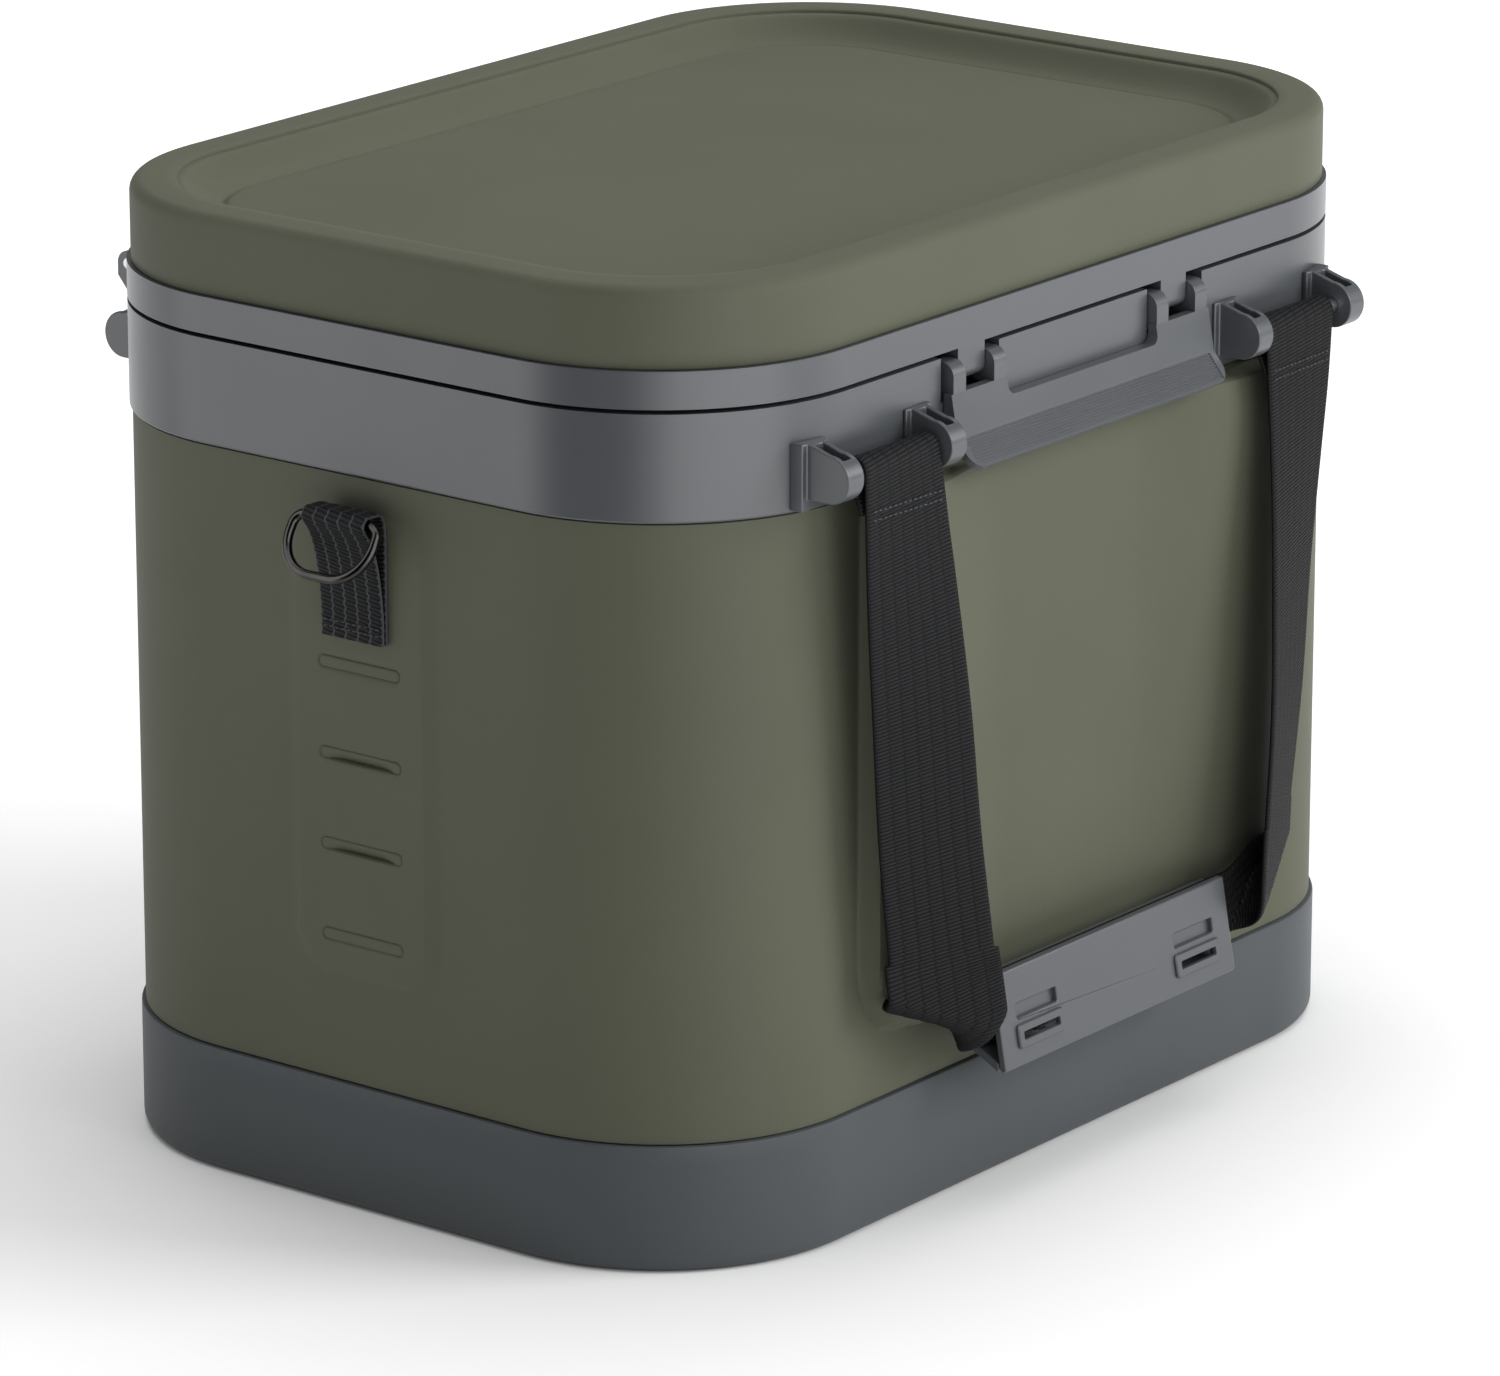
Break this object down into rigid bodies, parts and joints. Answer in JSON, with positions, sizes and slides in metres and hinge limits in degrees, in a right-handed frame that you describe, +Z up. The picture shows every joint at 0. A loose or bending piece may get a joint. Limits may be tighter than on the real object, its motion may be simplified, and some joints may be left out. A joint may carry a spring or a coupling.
{
  "type": "cooler chest",
  "caption": "Soft-sided cooler chest with moulded frames, a hinged tray-top lid, a wide front latch, webbing carry handles and end rings.",
  "frame": {"origin": "centre of the flat bottom, on the surface it stands on", "axes": "+X along the long front, -Y out of the latch side, +Z up"},
  "size_m": [0.4286, 0.3272, 0.318],
  "materials": {
    "olive_coated_fabric": "matte, fine woven emboss",
    "grey_coated_fabric": "matte, fine woven emboss",
    "grey_moulding": "satin",
    "black_webbing": "woven polyester",
    "dark_steel": "polished dark",
    "pin_steel": "drawn",
    "foam": "closed-cell foam",
    "liner_sheet": "smooth welded sheet",
    "seal_rubber": "matte",
    "hidden_board": "plain"
  },
  "bodies": {
    "tub": {"base_boot": "grey_coated_fabric", "bottom_board": "hidden_board", "outer_shell": "olive_coated_fabric", "wall_insulation": "foam", "inner_liner": "liner_sheet", "liner_clamp_ring": "hidden_board", "clamp_screws": "pin_steel", "body_frame": "grey_moulding", "front_brackets": "grey_moulding", "rear_brackets": "grey_moulding", "front_strap_pins": "pin_steel", "rear_strap_pins": "pin_steel", "hinge_pins": "pin_steel", "front_pad": "olive_coated_fabric", "rear_pad": "olive_coated_fabric", "left_slot_panel": "olive_coated_fabric", "right_slot_panel": "olive_coated_fabric", "left_ring_tab": "black_webbing", "right_ring_tab": "black_webbing"},
    "lid": {"lid_frame": "grey_moulding", "lid_shell": "olive_coated_fabric", "lid_insulation": "foam", "lid_liner": "liner_sheet", "lid_screws": "pin_steel", "lid_gasket": "seal_rubber", "latch_pins": "pin_steel"},
    "latch": {"latch_lever": "grey_moulding"},
    "front_handle": {"front_strap": "black_webbing", "grip_back": "grey_moulding"},
    "grip_flap": {"grip_front": "grey_moulding"},
    "rear_handle": {"rear_strap": "black_webbing"},
    "left_ring": {"left_d_ring": "dark_steel"},
    "right_ring": {"right_d_ring": "dark_steel"}
  },
  "joints": [
    {"name": "lid_hinge", "type": "hinge", "parent": "tub", "child": "lid", "pos_m": [0, 0.1396, 0.281], "axis": [-1, 0, 0], "range_deg": [0, 105]},
    {"name": "latch_pivot", "type": "hinge", "parent": "lid", "child": "latch", "pos_m": [0, -0.1315, 0.2722], "axis": [-1, 0, 0], "range_deg": [0, 80]},
    {"name": "front_handle_swing", "type": "hinge", "parent": "tub", "child": "front_handle", "pos_m": [0, -0.1445, 0.256], "axis": [-1, 0, 0], "range_deg": [0, 175]},
    {"name": "grip_flap_fold", "type": "hinge", "parent": "front_handle", "child": "grip_flap", "pos_m": [0, -0.1564, 0.0466], "axis": [1, 0, 0], "range_deg": [0, 120]},
    {"name": "rear_handle_swing", "type": "hinge", "parent": "tub", "child": "rear_handle", "pos_m": [0, 0.1445, 0.256], "axis": [-1, 0, 0], "range_deg": [-155, 0]},
    {"name": "left_ring_swing", "type": "hinge", "parent": "tub", "child": "left_ring", "pos_m": [-0.2023, 0, 0.2322], "axis": [0, 1, 0], "range_deg": [-18, 92]},
    {"name": "right_ring_swing", "type": "hinge", "parent": "tub", "child": "right_ring", "pos_m": [0.2023, 0, 0.2322], "axis": [0, -1, 0], "range_deg": [-18, 92]}
  ]
}
